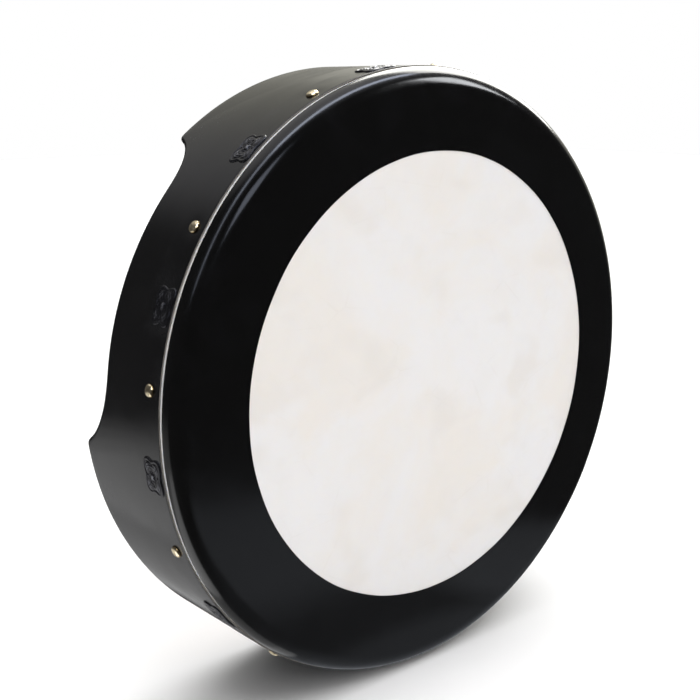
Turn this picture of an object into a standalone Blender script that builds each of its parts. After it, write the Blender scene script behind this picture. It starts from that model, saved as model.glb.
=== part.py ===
"""An 18 inch bodhran, a deep Irish frame drum, as separate pieces: shell, skin, edge tape, trim band,
nails, ornaments and an inner tuning ring pushed by six bolts in brackets. Metres, +Z up.

The drum stands upright on its rim and its head faces -Y. Everything is modelled in the drum's own
frame, which the empty drum_frame holds: its +Z points out of the head, its origin is the centre of
the front plane, and +Y is up. A place on the drum is (radius, angle, depth): the angle runs
anticlockwise from the top as the player's audience sees it, and the depth runs back from the front.
"""

import math

import bmesh
import bpy
from mathutils import Matrix, Vector

# Driving dimensions
OUTER_RADIUS = 0.2286  # over the trim band: an 18 inch drum
DRUM_DEPTH = 0.1143  # 4.5 inches
AXIS_HEIGHT = 0.22995  # the lowest nail head just clears z = 0
WALL = 0.009
FIT_GAP = 0.0002  # between thin layers that lie on each other
CLEARANCE = 0.0003  # round screws, nails and bolts
RING_STEPS = 72
ARC_STEPS = 5

# Layers over the shell, from the outside in
BAND_THICKNESS = 0.0012
BAND_FRONT = 0.0142
BAND_BACK = 0.0430
BAND_PROUD = 0.0010  # how far the band stands out from the shell behind it
TAPE_THICKNESS = 0.0003
TAPE_INNER_RADIUS = 0.1691
TAPE_END = 0.0119
SKIN_THICKNESS = 0.0008
SKIN_END = 0.0330
SHOULDER = 0.014  # radius of the skin's bend over the front edge

SKIN_RADIUS = OUTER_RADIUS - BAND_THICKNESS - FIT_GAP
SKIN_FRONT = TAPE_THICKNESS + FIT_GAP
SHOULDER_RADIUS = SKIN_RADIUS - SHOULDER  # where the bend's centre circle runs
SHOULDER_DEPTH = SKIN_FRONT + SHOULDER
SHELL_RADIUS = OUTER_RADIUS - BAND_PROUD
SHELL_INSIDE = SHELL_RADIUS - WALL
SHELL_EDGE = SHOULDER - SKIN_THICKNESS - FIT_GAP  # rounding of the shell's front edge

# Arm cutaway in the back edge
CUT_CENTRE = 67.8
CUT_SPAN = 58.0
CUT_DEPTH = 0.033
CUT_CORNER = 0.045

# Nails and ornaments: nominally every 30 degrees, set by hand, so each is a little off
NAIL_FIRST = -6.0
NAIL_PITCH = 30.0
NAIL_DRIFT = (0.5, 0.2, 2.2, -0.7, -1.8, 0.5, -0.5, 1.0, 0.0, -1.0, 0.5, -0.5)
NAIL_DEPTH = 0.0255
NAIL_HEAD_RADIUS = 0.0045
NAIL_HEAD_HEIGHT = 0.0026
NAIL_SHANK_RADIUS = 0.0008
NAIL_LENGTH = 0.0080
ORNAMENT_DEPTH = 0.0255
ORNAMENT_LENGTH = 0.026  # round the rim
ORNAMENT_WIDTH = 0.020
ORNAMENT_LOBE = 0.16
ORNAMENT_EDGE = 0.0008
ORNAMENT_CROWN = 0.0016
ORNAMENT_POINTS = 16

# Tuning system
TUNERS = 6
TUNER_FIRST = CUT_CENTRE - 30.0
BOLT_CIRCLE = 0.2045
RING_HALF_WIDTH = 0.005
RING_HEIGHT = 0.018
RING_CROWN = 0.004
RING_FRONT = SKIN_FRONT + SKIN_THICKNESS + CLEARANCE
RING_BACK = RING_FRONT + RING_HEIGHT
SOCKET_DEPTH = 0.003
BOLT_RADIUS = 0.003
BOLT_TIP = RING_BACK - SOCKET_DEPTH + CLEARANCE
BOLT_SHANK = 0.031
BOLT_HEAD_RADIUS = 0.005
BOLT_HEAD_HEIGHT = 0.006
HEX_RADIUS = 0.0029
HEX_DEPTH = 0.0035
BRACKET_FACE = 0.2176  # its flat back, just clear of the shell's inside
BRACKET_PLATE = 0.0025
BRACKET_HALF_WIDTH = 0.015
BRACKET_FRONT = 0.027
BRACKET_BACK = 0.045
SHELF_INNER = 0.197
BOSS_RADIUS = 0.0055
BOSS_BACK = 0.035
SCREW_OFFSET = 0.010
SCREW_DEPTH = 0.038
SCREW_RADIUS = 0.0015
SCREW_HEAD_RADIUS = 0.0032
SCREW_HEAD_HEIGHT = 0.0020
SCREW_TIP = 0.2246


def clear_scene():
    for obj in list(bpy.data.objects):
        bpy.data.objects.remove(obj, do_unlink=True)


def make_material(name, colour, roughness, metallic=0.0):
    material = bpy.data.materials.new(name)
    material.use_nodes = True
    shader = material.node_tree.nodes["Principled BSDF"]
    shader.inputs["Base Color"].default_value = (*colour, 1.0)
    shader.inputs["Roughness"].default_value = roughness
    shader.inputs["Metallic"].default_value = metallic
    return material


def mesh_from(bm, name, smooth_angle=35.0):
    """Closes a bmesh into a mesh with its faces pointing out, smooth but for its sharp edges."""
    bmesh.ops.remove_doubles(bm, verts=bm.verts, dist=1e-6)
    bmesh.ops.recalc_face_normals(bm, faces=bm.faces)
    mesh = bpy.data.meshes.new(name)
    bm.to_mesh(mesh)
    bm.free()
    mesh.shade_smooth()
    mesh.set_sharp_from_angle(angle=math.radians(smooth_angle))
    return mesh


def place(name, mesh, parent, material=None, matrix=None):
    """Puts an object in the scene, at matrix in its parent's frame."""
    obj = bpy.data.objects.new(name, mesh)
    bpy.context.scene.collection.objects.link(obj)
    obj.parent = parent
    obj.matrix_local = matrix or Matrix.Identity(4)
    if material and not mesh.materials:
        mesh.materials.append(material)
    return obj


def arc(centre, radius, start, end, steps):
    """Points (radius, depth) on an arc, from start to end degrees, where 90 degrees is the front."""
    angles = [math.radians(start + (end - start) * i / steps) for i in range(steps + 1)]
    return [(centre[0] + radius * math.cos(a), centre[1] - radius * math.sin(a)) for a in angles]


def turned(profile, steps=RING_STEPS):
    """The solid that a closed outline of (radius, depth) sweeps round the Z axis."""
    bm = bmesh.new()
    points = [bm.verts.new((radius, 0.0, -depth)) for radius, depth in profile]
    edges = [bm.edges.new((a, b)) for a, b in zip(points, points[1:] + points[:1])]
    bmesh.ops.spin(
        bm,
        geom=points + edges,
        cent=(0, 0, 0),
        axis=(0, 0, 1),
        angle=math.tau,
        steps=steps,
        use_merge=True,
    )
    return bm


def around(angle):
    """A frame at this many degrees anticlockwise from the top: X radially out, Z out of the head."""
    return Matrix.Rotation(math.radians(90.0 + angle), 4, "Z")


def radial_frame(angle, depth, radius=0.0, sideways=0.0):
    """A frame on the rim whose Z points radially out of the drum and whose X points to the back."""
    turn = Matrix.Rotation(math.radians(90.0), 4, "Y")
    return around(angle) @ Matrix.Translation((radius, sideways, -depth)) @ turn


def cylinder_into(bm, matrix, radius, low, high, segments):
    """Adds a capped cylinder along matrix's Z, from low to high."""
    middle = Matrix.Translation((0, 0, (low + high) / 2))
    bmesh.ops.create_cone(
        bm,
        cap_ends=True,
        segments=segments,
        radius1=radius,
        radius2=radius,
        depth=high - low,
        matrix=matrix @ middle,
    )


def add_cutter(name, bm, parent):
    cutter = place(name, mesh_from(bm, name), parent)
    cutter.hide_render = True
    cutter.display_type = "WIRE"
    return cutter


def cut(obj, cutter):
    modifier = obj.modifiers.new(cutter.name, "BOOLEAN")
    modifier.operation = "DIFFERENCE"
    modifier.solver = "EXACT"
    modifier.object = cutter


def applied(obj):
    """The object's mesh with its modifiers applied, for copies to share. The object goes."""
    graph = bpy.context.evaluated_depsgraph_get()
    mesh = bpy.data.meshes.new_from_object(obj.evaluated_get(graph))
    bpy.data.objects.remove(obj, do_unlink=True)
    return mesh


def nail_angles():
    return [NAIL_FIRST + NAIL_PITCH * i + drift for i, drift in enumerate(NAIL_DRIFT)]


def ornament_angles():
    """Halfway between each nail and the next."""
    nails = nail_angles()
    following = nails[1:] + [nails[0] + 360.0]
    return [(a + b) / 2 for a, b in zip(nails, following)]


def tuner_angles():
    return [TUNER_FIRST + 360.0 / TUNERS * i for i in range(TUNERS)]


def shell_profile():
    """Wall section: rounded-over front edge, a rebate where skin and band lie, eased back edge."""
    centre = (SHOULDER_RADIUS, SHOULDER_DEPTH)
    inner_angle = math.degrees(math.acos((SHELL_INSIDE + 0.001 - SHOULDER_RADIUS) / SHELL_EDGE))
    seat_end = BAND_BACK + CLEARANCE
    ease = 0.0015
    back = DRUM_DEPTH - ease
    return (
        arc(centre, SHELL_EDGE, 0.0, inner_angle, ARC_STEPS)
        + [(SHELL_INSIDE, 0.0045)]
        + arc((SHELL_INSIDE + ease, back), ease, 180.0, 270.0, 2)
        + arc((SHELL_RADIUS - ease, back), ease, 270.0, 360.0, 2)
        + [(SHELL_RADIUS, seat_end), (SHOULDER_RADIUS + SHELL_EDGE, seat_end)]
    )


def cutaway_side():
    """Half of the arch, from its flat top to the back edge, as (distance round the rim, depth)."""
    half = math.radians(CUT_SPAN / 2) * SHELL_RADIUS
    top = DRUM_DEPTH - CUT_DEPTH
    flat = half - math.sqrt(CUT_CORNER**2 - (CUT_CORNER - CUT_DEPTH) ** 2)
    steps, end = 7, math.asin((half - flat) / CUT_CORNER)
    bends = [end * i / steps for i in range(steps + 1)]
    return [(flat + CUT_CORNER * math.sin(a), top + CUT_CORNER * (1 - math.cos(a))) for a in bends]


def cutaway_cutter(parent):
    """The arm cutaway's void, a flat-topped arch laid round the rim and open at the back edge."""
    right = cutaway_side()
    left = [(-along, depth) for along, depth in reversed(right)]
    flat, top = right[0]
    flat_steps, past_back = 8, DRUM_DEPTH + 0.010
    middle = [(flat * (2 * i / flat_steps - 1), top) for i in range(1, flat_steps)]
    bm = bmesh.new()
    columns = []
    for along, depth in left + middle + right:
        turn = around(CUT_CENTRE + math.degrees(along / SHELL_RADIUS))
        corners = [(r, z) for r in (SHELL_INSIDE - 0.03, SHELL_RADIUS + 0.04) for z in (depth, past_back)]
        columns.append([bm.verts.new(turn @ Vector((r, 0, -z))) for r, z in corners])
    for a, b in zip(columns, columns[1:]):
        for i, j in ((0, 1), (1, 3), (3, 2), (2, 0)):
            bm.faces.new((a[i], a[j], b[j], b[i]))
    for end in (columns[0], columns[-1]):
        bm.faces.new((end[0], end[1], end[3], end[2]))
    return add_cutter("cutaway_void", bm, parent)


def nail_hole_cutter(parent):
    bm = bmesh.new()
    for angle in nail_angles():
        bottom = OUTER_RADIUS - NAIL_LENGTH - CLEARANCE
        radius = NAIL_SHANK_RADIUS + CLEARANCE
        cylinder_into(bm, radial_frame(angle, NAIL_DEPTH), radius, bottom, OUTER_RADIUS + 0.004, 8)
    return add_cutter("nail_holes", bm, parent)


def screw_frames():
    return [
        radial_frame(angle, SCREW_DEPTH, sideways=side * SCREW_OFFSET)
        for angle in tuner_angles()
        for side in (-1, 1)
    ]


def screw_hole_cutter(parent):
    bm = bmesh.new()
    for frame in screw_frames():
        cylinder_into(bm, frame, SCREW_RADIUS + CLEARANCE, 0.205, SCREW_TIP + CLEARANCE, 8)
    return add_cutter("screw_holes", bm, parent)


def make_shell(parent, cutters):
    lacquer = make_material("black_lacquer", (0.012, 0.012, 0.013), 0.18)
    shell = place("shell", mesh_from(turned(shell_profile()), "shell"), parent, lacquer)
    for cutter in cutters:
        cut(shell, cutter)


def make_skin(parent, nail_holes):
    centre = (SHOULDER_RADIUS, SHOULDER_DEPTH)
    inner = SHOULDER - SKIN_THICKNESS
    profile = (
        [(0.0, SKIN_FRONT)]
        + arc(centre, SHOULDER, 90.0, 0.0, ARC_STEPS)
        + [(SKIN_RADIUS, SKIN_END), (SKIN_RADIUS - SKIN_THICKNESS, SKIN_END)]
        + arc(centre, inner, 0.0, 90.0, ARC_STEPS)
        + [(0.0, SKIN_FRONT + SKIN_THICKNESS)]
    )
    goatskin = make_material("goatskin", (0.86, 0.83, 0.79), 0.55)
    cut(place("head_skin", mesh_from(turned(profile), "head_skin"), parent, goatskin), nail_holes)


def make_tape(parent):
    centre = (SHOULDER_RADIUS, SHOULDER_DEPTH)
    inner = SHOULDER + FIT_GAP
    outer = inner + TAPE_THICKNESS
    end = math.degrees(math.asin((SHOULDER_DEPTH - TAPE_END) / outer))
    profile = (
        [(TAPE_INNER_RADIUS, 0.0)]
        + arc(centre, outer, 90.0, end, ARC_STEPS)
        + arc(centre, inner, end, 90.0, ARC_STEPS)
        + [(TAPE_INNER_RADIUS, TAPE_THICKNESS)]
    )
    vinyl = make_material("black_vinyl_tape", (0.010, 0.010, 0.011), 0.42)
    place("edge_tape", mesh_from(turned(profile), "edge_tape"), parent, vinyl)


def make_band(parent, nail_holes):
    inside = OUTER_RADIUS - BAND_THICKNESS
    ease = 0.0004
    profile = [
        (inside, BAND_FRONT),
        (OUTER_RADIUS - ease, BAND_FRONT),
        (OUTER_RADIUS, BAND_FRONT + ease),
        (OUTER_RADIUS, BAND_BACK - ease),
        (OUTER_RADIUS - ease, BAND_BACK),
        (inside, BAND_BACK),
    ]
    leather = make_material("black_leather", (0.014, 0.014, 0.015), 0.30)
    cut(place("rim_band", mesh_from(turned(profile), "rim_band"), parent, leather), nail_holes)


def nail_mesh():
    """A domed head over a pointed shank. Z is out of the drum, and the head's rim is at z = 0."""
    head, high, shank = NAIL_HEAD_RADIUS, NAIL_HEAD_HEIGHT, NAIL_SHANK_RADIUS
    dome = [math.radians(90.0 * i / 3) for i in range(4)]
    profile = [(head * math.cos(a), -high * math.sin(a)) for a in dome]
    tip = NAIL_LENGTH + FIT_GAP
    profile += [(0.0, tip), (shank, tip - 0.002), (shank, 0.0)]
    return mesh_from(turned(profile, 10), "band_nail")


def make_nails(parent):
    brass = make_material("brass", (0.80, 0.58, 0.27), 0.22, 1.0)
    mesh = nail_mesh()
    for number, angle in enumerate(nail_angles(), 1):
        frame = radial_frame(angle, NAIL_DEPTH, OUTER_RADIUS + FIT_GAP)
        place(f"band_nail_{number:02d}", mesh, parent, brass, frame)


def ornament_mesh():
    """A four-lobed rosette, bent to the rim: X is radially out, and its middle is on the X axis."""
    foot = OUTER_RADIUS + FIT_GAP
    rings = ((0.5, foot), (1.0, foot), (1.0, foot + ORNAMENT_EDGE), (0.5, foot + ORNAMENT_CROWN))
    turns = [math.tau * i / ORNAMENT_POINTS for i in range(ORNAMENT_POINTS)]
    reaches = [1.0 - ORNAMENT_LOBE * math.cos(4 * turn) for turn in turns]
    widest = max(reach * math.cos(turn) for reach, turn in zip(reaches, turns))
    bm = bmesh.new()

    def vertex(share, turn, reach, radius):
        along = ORNAMENT_LENGTH / 2 / widest * share * reach * math.cos(turn)
        across = ORNAMENT_WIDTH / 2 / widest * share * reach * math.sin(turn)
        angle = along / OUTER_RADIUS
        return bm.verts.new((radius * math.cos(angle), radius * math.sin(angle), across))

    loops = [
        [vertex(share, turn, reach, radius) for turn, reach in zip(turns, reaches)]
        for share, radius in rings
    ]
    for low, high in zip(loops, loops[1:]):
        for i in range(ORNAMENT_POINTS):
            j = (i + 1) % ORNAMENT_POINTS
            bm.faces.new((low[i], low[j], high[j], high[i]))
    for loop, radius in ((loops[0], foot), (loops[-1], foot + ORNAMENT_EDGE)):
        middle = vertex(0.0, 0.0, 0.0, radius)
        for i in range(ORNAMENT_POINTS):
            bm.faces.new((middle, loop[i], loop[(i + 1) % ORNAMENT_POINTS]))
    return mesh_from(bm, "rim_ornament")


def make_ornaments(parent):
    blackened = make_material("blackened_metal", (0.020, 0.020, 0.024), 0.28, 0.6)
    mesh = ornament_mesh()
    for number, angle in enumerate(ornament_angles(), 1):
        frame = around(angle) @ Matrix.Translation((0, 0, -ORNAMENT_DEPTH))
        place(f"rim_ornament_{number:02d}", mesh, parent, blackened, frame)


def make_tuning_ring(parent):
    """The inner hoop, with a round crown under the skin and a socket behind for each bolt's tip."""
    inside, outside = BOLT_CIRCLE - RING_HALF_WIDTH, BOLT_CIRCLE + RING_HALF_WIDTH
    crown = RING_FRONT + RING_CROWN
    profile = (
        arc((outside - RING_CROWN, crown), RING_CROWN, 0.0, 90.0, 3)
        + arc((inside + RING_CROWN, crown), RING_CROWN, 90.0, 180.0, 3)
        + [(inside, RING_BACK), (outside, RING_BACK)]
    )
    wood = make_material("pale_wood", (0.52, 0.36, 0.21), 0.50)
    ring = place("tuning_ring", mesh_from(turned(profile), "tuning_ring"), parent, wood)
    bm = bmesh.new()
    for angle in tuner_angles():
        frame = around(angle) @ Matrix.Translation((BOLT_CIRCLE, 0, 0))
        low, high = -RING_BACK - 0.002, -RING_BACK + SOCKET_DEPTH
        cylinder_into(bm, frame, BOLT_RADIUS + CLEARANCE, low, high, 10)
    cut(ring, add_cutter("bolt_sockets", bm, parent))


def bolt_mesh():
    """A socket-head bolt on the Z axis. Its tip points to the skin, and its head faces the player."""
    neck = BOLT_TIP + BOLT_SHANK
    end = neck + BOLT_HEAD_HEIGHT
    ease = 0.0006
    profile = [
        (0.0, BOLT_TIP),
        (BOLT_RADIUS - ease, BOLT_TIP),
        (BOLT_RADIUS, BOLT_TIP + ease),
        (BOLT_RADIUS, neck),
        (BOLT_HEAD_RADIUS, neck),
        (BOLT_HEAD_RADIUS, end - ease),
        (BOLT_HEAD_RADIUS - ease, end),
        (0.0, end),
    ]
    bolt = place("bolt_blank", mesh_from(turned(profile, 12), "tuning_bolt"), None)
    bm = bmesh.new()
    cylinder_into(bm, Matrix.Identity(4), HEX_RADIUS, -end - 0.002, -end + HEX_DEPTH, 6)
    cutter = add_cutter("hex_socket", bm, None)
    cut(bolt, cutter)
    mesh = applied(bolt)
    bpy.data.objects.remove(cutter, do_unlink=True)
    return mesh


def make_bolts(parent):
    steel = make_material("bolt_steel", (0.30, 0.30, 0.31), 0.30, 1.0)
    mesh = bolt_mesh()
    for number, angle in enumerate(tuner_angles(), 1):
        frame = around(angle) @ Matrix.Translation((BOLT_CIRCLE, 0, 0))
        place(f"tuning_bolt_{number}", mesh, parent, steel, frame)


def bracket_mesh():
    """A bent steel angle with a tapped boss. X is radially out, and its leg lies on the shell."""
    face, inner = BRACKET_FACE, BRACKET_FACE - BRACKET_PLATE
    shelf = BRACKET_FRONT + BRACKET_PLATE
    outline = [
        (SHELF_INNER, BRACKET_FRONT),
        (face - 0.0015, BRACKET_FRONT),
        (face, BRACKET_FRONT + 0.0015),
        (face, BRACKET_BACK),
        (inner, BRACKET_BACK),
        (inner, shelf),
        (SHELF_INNER, shelf),
    ]
    bm = bmesh.new()
    points = [bm.verts.new((x, -BRACKET_HALF_WIDTH, -depth)) for x, depth in outline]
    made = bmesh.ops.extrude_face_region(bm, geom=[bm.faces.new(points)])
    swept = [v for v in made["geom"] if isinstance(v, bmesh.types.BMVert)]
    bmesh.ops.translate(bm, verts=swept, vec=(0, 2 * BRACKET_HALF_WIDTH, 0))
    bracket = place("bracket_blank", mesh_from(bm, "bracket_blank"), None)

    on_bolt = Matrix.Translation((BOLT_CIRCLE, 0, 0))
    boss_bm = bmesh.new()
    cylinder_into(boss_bm, on_bolt, BOSS_RADIUS, -BOSS_BACK, -shelf + 0.001, 12)
    boss = add_cutter("boss", boss_bm, None)
    union = bracket.modifiers.new("boss", "BOOLEAN")
    union.operation = "UNION"
    union.solver = "EXACT"
    union.object = boss

    hole_bm = bmesh.new()
    cylinder_into(hole_bm, on_bolt, BOLT_RADIUS + CLEARANCE, -0.05, -0.02, 12)
    turn = Matrix.Rotation(math.radians(90.0), 4, "Y")
    for side in (-1, 1):
        frame = Matrix.Translation((0, side * SCREW_OFFSET, -SCREW_DEPTH)) @ turn
        cylinder_into(hole_bm, frame, SCREW_RADIUS + CLEARANCE, 0.21, 0.23, 8)
    holes = add_cutter("bracket_holes", hole_bm, None)
    cut(bracket, holes)
    mesh = applied(bracket)
    for helper in (boss, holes):
        bpy.data.objects.remove(helper, do_unlink=True)
    mesh.name = "tuning_bracket"
    return mesh


def make_brackets(parent):
    zinc = make_material("zinc_plate", (0.62, 0.62, 0.60), 0.35, 1.0)
    mesh = bracket_mesh()
    for number, angle in enumerate(tuner_angles(), 1):
        place(f"tuning_bracket_{number}", mesh, parent, zinc, around(angle))


def screw_mesh():
    """A round-head wood screw along Z, its point outwards, with its head against the bracket."""
    seat = BRACKET_FACE - BRACKET_PLATE - FIT_GAP
    head, high = SCREW_HEAD_RADIUS, SCREW_HEAD_HEIGHT
    dome = [math.radians(90.0 * i / 2) for i in range(3)]
    profile = [(head * math.cos(a), -seat + high * math.sin(a)) for a in dome]
    profile += [(0.0, -SCREW_TIP), (SCREW_RADIUS, -SCREW_TIP + 0.002), (SCREW_RADIUS, -seat)]
    return mesh_from(turned(profile, 8), "bracket_screw")


def make_screws(parent):
    steel = make_material("screw_steel", (0.58, 0.55, 0.47), 0.32, 1.0)
    mesh = screw_mesh()
    for number, frame in enumerate(screw_frames(), 1):
        place(f"bracket_screw_{number:02d}", mesh, parent, steel, frame)


def main():
    clear_scene()
    drum = bpy.data.objects.new("drum_frame", None)
    bpy.context.scene.collection.objects.link(drum)
    drum.location = (0, -DRUM_DEPTH / 2, AXIS_HEIGHT)
    drum.rotation_euler = (math.radians(90.0), 0, 0)

    nail_holes = nail_hole_cutter(drum)
    make_shell(drum, (cutaway_cutter(drum), nail_holes, screw_hole_cutter(drum)))
    make_skin(drum, nail_holes)
    make_tape(drum)
    make_band(drum, nail_holes)
    make_nails(drum)
    make_ornaments(drum)
    make_tuning_ring(drum)
    make_brackets(drum)
    make_bolts(drum)
    make_screws(drum)


main()
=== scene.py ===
"""The looks of an 18 inch bodhran: lacquered shell, goatskin, edge tape, nailed leather band and inner tuning.

Metres, +Z up, head facing -Y. Meshes are made in the drum's own frame, as in the CAD: a place on it is
(radius, angle, depth), the angle runs anticlockwise from the top seen from the front, and the depth
runs back from the front plane.
"""

import math

import bmesh
import bpy
import numpy as np
from mathutils import Matrix, Vector

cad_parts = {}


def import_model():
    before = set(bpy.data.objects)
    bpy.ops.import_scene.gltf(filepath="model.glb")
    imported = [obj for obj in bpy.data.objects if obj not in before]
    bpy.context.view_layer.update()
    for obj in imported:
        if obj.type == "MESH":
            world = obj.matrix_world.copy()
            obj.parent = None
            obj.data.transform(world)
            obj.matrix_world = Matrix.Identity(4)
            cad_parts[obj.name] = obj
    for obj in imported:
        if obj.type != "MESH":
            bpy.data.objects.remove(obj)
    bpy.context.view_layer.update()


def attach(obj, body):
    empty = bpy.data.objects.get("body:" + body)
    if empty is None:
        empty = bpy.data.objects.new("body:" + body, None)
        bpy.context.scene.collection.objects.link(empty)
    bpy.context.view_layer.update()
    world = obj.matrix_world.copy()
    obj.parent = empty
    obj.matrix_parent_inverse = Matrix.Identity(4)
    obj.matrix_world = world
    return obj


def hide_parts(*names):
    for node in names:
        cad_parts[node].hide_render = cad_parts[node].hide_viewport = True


# The drum, as the CAD has it but for the lacquer's build-up and the lower corner of the cutaway
OUTER_RADIUS = 0.2286
DRUM_DEPTH = 0.1143
AXIS_HEIGHT = 0.22995
WALL = 0.009
GAP = 0.0002

BAND_THICKNESS = 0.0012
BAND_FRONT = 0.0142
BAND_BACK = 0.0430
BAND_PROUD = 0.0010
TAPE_THICKNESS = 0.0003
TAPE_INNER_RADIUS = 0.1691
TAPE_END = 0.0119
SKIN_THICKNESS = 0.0008
SKIN_END = 0.0330
SHOULDER = 0.014

SKIN_RADIUS = OUTER_RADIUS - BAND_THICKNESS - GAP
SKIN_FRONT = TAPE_THICKNESS + GAP
SHOULDER_RADIUS = SKIN_RADIUS - SHOULDER
SHOULDER_DEPTH = SKIN_FRONT + SHOULDER
SHELL_RADIUS = OUTER_RADIUS - BAND_PROUD
SHELL_INSIDE = SHELL_RADIUS - WALL
SHELL_EDGE = SHOULDER - SKIN_THICKNESS - GAP
BACK_EASE = 0.0022
LACQUER_BUILD = 0.00085  # the lacquer is built up nearly flush with the band
JOINT_GAP = 0.00002  # between the band's back edge and the lacquer
SUPPORT = 0.00015  # a row this near a bend keeps its shading from spreading

CUT_CENTRE = 67.8  # degrees
CUT_SPAN = 58.0
CUT_DEPTH = 0.033
CUT_CORNERS = (0.045, 0.060)  # upper and lower; the CAD has 0.045 for both

NAIL_FIRST = -6.0  # degrees
NAIL_PITCH = 30.0
NAIL_DRIFT = (0.5, 0.2, 2.2, -0.7, -1.8, 0.5, -0.5, 1.0, 0.0, -1.0, 0.5, -0.5)
NAIL_DEPTH = 0.0255
NAIL_HEAD_RADIUS = 0.0045
NAIL_HEAD_HEIGHT = 0.0026
NAIL_LENGTH = 0.0080
ORNAMENT_DEPTH = 0.0255
ORNAMENT_LENGTH = 0.026
ORNAMENT_WIDTH = 0.020
ORNAMENT_HEIGHT = 0.0017
SUNK_RADIUS = OUTER_RADIUS - 0.0001  # nail heads and ornaments sit this far in, pressed into the band

TUNERS = 6
TUNER_FIRST = CUT_CENTRE - 30.0
BOLT_CIRCLE = 0.2045
RING_HALF_WIDTH = 0.005
RING_FRONT = SKIN_FRONT + SKIN_THICKNESS + 0.0003
RING_BACK = RING_FRONT + 0.018
RING_CROWN = 0.004
BOLT_RADIUS = 0.003
BOLT_TIP = RING_BACK - 0.003 + 0.0003
BOLT_NECK = BOLT_TIP + 0.031
BOLT_END = BOLT_NECK + 0.006
BOLT_HEAD_RADIUS = 0.0049
BRACKET_FACE = 0.2176
BRACKET_PLATE = 0.0025
BRACKET_HALF_WIDTH = 0.015
BRACKET_FRONT = 0.027
BRACKET_BACK = 0.045
SHELF_INNER = 0.197
PLATE_INSIDE = BRACKET_FACE - BRACKET_PLATE  # where the screw heads bear
SCREW_OFFSET = 0.010
SCREW_DEPTH = 0.038
SCREW_TIP = 0.2246
SCREW_HEAD_RADIUS = 0.0032

DRUM = Matrix.Translation((0, -DRUM_DEPTH / 2, AXIS_HEIGHT)) @ Matrix.Rotation(math.radians(90), 4, "X")
PANEL_AIM = Vector((0, -0.05, AXIS_HEIGHT))  # the reflection panels are placed from here
SEED = 7


# ---- mesh tools


def drum_points(radius, angle, depth):
    """Points in the drum's frame from arrays of radius, angle in degrees and depth."""
    turn = np.radians(angle)
    radius, turn, depth = np.broadcast_arrays(radius, turn, depth)
    return np.stack([-radius * np.sin(turn), radius * np.cos(turn), -depth], axis=-1)


def arc(centre, radius, start, end, steps):
    """Points (radius, depth) on an arc, from start to end degrees, where 90 degrees is the front."""
    angles = np.radians(np.linspace(start, end, steps + 1))
    return list(zip(centre[0] + radius * np.cos(angles), centre[1] - radius * np.sin(angles)))


def grid_mesh(name, points, around_m, loop=False, poles=(None, None), sharp=40.0, relief=None):
    """A mesh from rows of points whose columns go all the way round. With loop, the last row joins the
    first; else a pole point closes each end. The UV map is in metres, along rows of length around_m and
    across them. Relief, a height for each point, tells a material what to rub."""
    rows, cols = points.shape[:2]
    verts = points.reshape(-1, 3).tolist()
    step = np.linalg.norm(np.diff(points, axis=0, append=points[:1]), axis=2).mean(axis=1)
    across = np.concatenate([[0.0], np.cumsum(step)])
    along = np.linspace(0.0, around_m, cols + 1)
    faces, uvs = [], []
    for i in range(rows if loop else rows - 1):
        k = (i + 1) % rows
        for j in range(cols):
            n = (j + 1) % cols
            faces.append((i * cols + j, i * cols + n, k * cols + n, k * cols + j))
            uvs += [(along[a], across[b]) for a, b in ((j, i), (j + 1, i), (j + 1, i + 1), (j, i + 1))]
    for row, pole, v in ((0, poles[0], 0.0), (rows - 1, poles[1], across[rows - 1])):
        if pole is not None:
            verts.append(tuple(pole))
            top = len(verts) - 1
            for j in range(cols):
                n = (j + 1) % cols
                pair = (row * cols + n, row * cols + j) if row == 0 else (row * cols + j, row * cols + n)
                faces.append((*pair, top))
                us = (along[j + 1], along[j]) if row == 0 else (along[j], along[j + 1])
                uvs += [(us[0], v), (us[1], v), (along[j], v)]
    mesh = bpy.data.meshes.new(name)
    mesh.from_pydata(verts, [], faces)
    layer = mesh.uv_layers.new(name="wrap")
    layer.data.foreach_set("uv", np.array(uvs, np.float32).ravel())
    if relief is not None:
        values = np.zeros(len(verts), np.float32)
        values[: rows * cols] = relief.reshape(-1)
        mesh.attributes.new("relief", "FLOAT", "POINT").data.foreach_set("value", values)
    bm = bmesh.new()
    bm.from_mesh(mesh)
    bmesh.ops.recalc_face_normals(bm, faces=bm.faces)
    bm.to_mesh(mesh)
    bm.free()
    finish_shading(mesh, sharp)
    return mesh


def finish_shading(mesh, sharp):
    mesh.shade_smooth()
    mesh.set_sharp_from_angle(angle=math.radians(sharp))


def from_bmesh(bm, name):
    mesh = bpy.data.meshes.new(name)
    bm.to_mesh(mesh)
    bm.free()
    return mesh


def add(name, data):
    obj = bpy.data.objects.new(name, data)
    bpy.context.scene.collection.objects.link(obj)
    return obj


def put(name, mesh, matrix, body, node, material=None):
    """Adds a piece that rides on a body, stands for a CAD node and has a finish."""
    obj = add(name, mesh)
    obj.matrix_world = matrix
    if material and not mesh.materials:
        mesh.materials.append(material)
    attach(obj, body)
    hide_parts(node)
    return obj


def degrees_round(count):
    return np.linspace(-180.0, 180.0, count, endpoint=False)


def revolve_rows(profile, cols):
    """Rows of points for a section of (radius, depth) turned round the drum's axis, and their angles."""
    angle = degrees_round(cols)
    section = np.array(profile)
    return drum_points(section[:, :1], angle[None, :], section[:, 1:]), angle


def wobble(angle, waves, seed):
    """A smooth, closed, hand-made unevenness round the drum, within +-1, of so many waves a turn."""
    rng = np.random.default_rng(seed)
    total = np.zeros_like(angle)
    for count in waves:
        total += rng.uniform(0.5, 1.0) * np.sin(np.radians(angle) * count + rng.uniform(0, math.tau))
    return total / len(waves)


def nail_angles():
    return [NAIL_FIRST + NAIL_PITCH * i + drift for i, drift in enumerate(NAIL_DRIFT)]


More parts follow.
